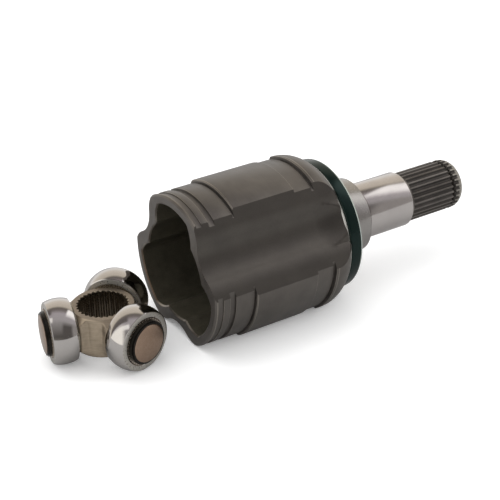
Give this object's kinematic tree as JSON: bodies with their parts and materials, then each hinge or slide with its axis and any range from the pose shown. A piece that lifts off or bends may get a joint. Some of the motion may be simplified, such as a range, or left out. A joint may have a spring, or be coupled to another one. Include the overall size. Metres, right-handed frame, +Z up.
{
  "type": "tripod cv joint",
  "caption": "Inner plunging tripod CV joint: three-lobed tulip housing with splined stub, and its tripod with needle-bearing barrel rollers lying loose at the mouth.",
  "frame": {"origin": "centre of the housing's mouth, on the housing's axis", "axes": "+X from the mouth along the housing's axis to the splined stub, +Z up as the joint lies on a flat surface"},
  "size_m": [0.2537, 0.082, 0.0769],
  "materials": {
    "phosphate_steel": "manganese phosphate over forged and turned steel, satin; the journal ground bright",
    "black_zinc": "gloss black-green plated ring",
    "spring_steel": "blackened spring steel",
    "hardened_steel": "turned and ground steel with a warm tint from heat treatment",
    "polished_steel": "ground and polished bearing steel",
    "needle_steel": "bearing needles",
    "dark_washer": "blackened washer"
  },
  "bodies": {
    "housing": {"tulip_housing": "phosphate_steel", "dust_shield": "black_zinc", "stub_circlip": "spring_steel"},
    "tripod": {"spider": "hardened_steel", "inner_washer_1": "dark_washer", "outer_retainer_1": "dark_washer", "snap_ring_1": "spring_steel", "inner_washer_2": "dark_washer", "outer_retainer_2": "dark_washer", "snap_ring_2": "spring_steel", "inner_washer_3": "dark_washer", "outer_retainer_3": "dark_washer", "snap_ring_3": "spring_steel"},
    "roller_set_1": {"roller_1": "polished_steel"},
    "needle_set_1": {"needles_1": "needle_steel"},
    "roller_set_2": {"roller_2": "polished_steel"},
    "needle_set_2": {"needles_2": "needle_steel"},
    "roller_set_3": {"roller_3": "polished_steel"},
    "needle_set_3": {"needles_3": "needle_steel"}
  },
  "joints": [
    {"name": "tripod_lift", "type": "slide", "parent": "housing", "child": "tripod", "axis": [0, 0, 1], "range_m": [0, 0.1]},
    {"name": "roller_1_spin", "type": "hinge", "parent": "tripod", "child": "roller_set_1", "pos_m": [-0.0392, 0.0046, -0.01907], "axis": [0.2924, -0.9563, 0], "continuous": true},
    {"name": "needles_1_orbit", "type": "hinge", "parent": "tripod", "child": "needle_set_1", "pos_m": [-0.0392, 0.0046, -0.01907], "axis": [0.2924, -0.9563, 0], "continuous": true},
    {"name": "roller_2_spin", "type": "hinge", "parent": "tripod", "child": "roller_set_2", "pos_m": [-0.0392, 0.0046, -0.01907], "axis": [0.682, 0.7314, 0], "continuous": true},
    {"name": "needles_2_orbit", "type": "hinge", "parent": "tripod", "child": "needle_set_2", "pos_m": [-0.0392, 0.0046, -0.01907], "axis": [0.682, 0.7314, 0], "continuous": true},
    {"name": "roller_3_spin", "type": "hinge", "parent": "tripod", "child": "roller_set_3", "pos_m": [-0.0392, 0.0046, -0.01907], "axis": [-0.9744, 0.225, 0], "continuous": true},
    {"name": "needles_3_orbit", "type": "hinge", "parent": "tripod", "child": "needle_set_3", "pos_m": [-0.0392, 0.0046, -0.01907], "axis": [-0.9744, 0.225, 0], "continuous": true}
  ],
  "couplings": [
    {"joint": "needles_1_orbit", "follows": "roller_1_spin", "ratio": 0.537},
    {"joint": "needles_2_orbit", "follows": "roller_2_spin", "ratio": 0.537},
    {"joint": "needles_3_orbit", "follows": "roller_3_spin", "ratio": 0.537}
  ]
}
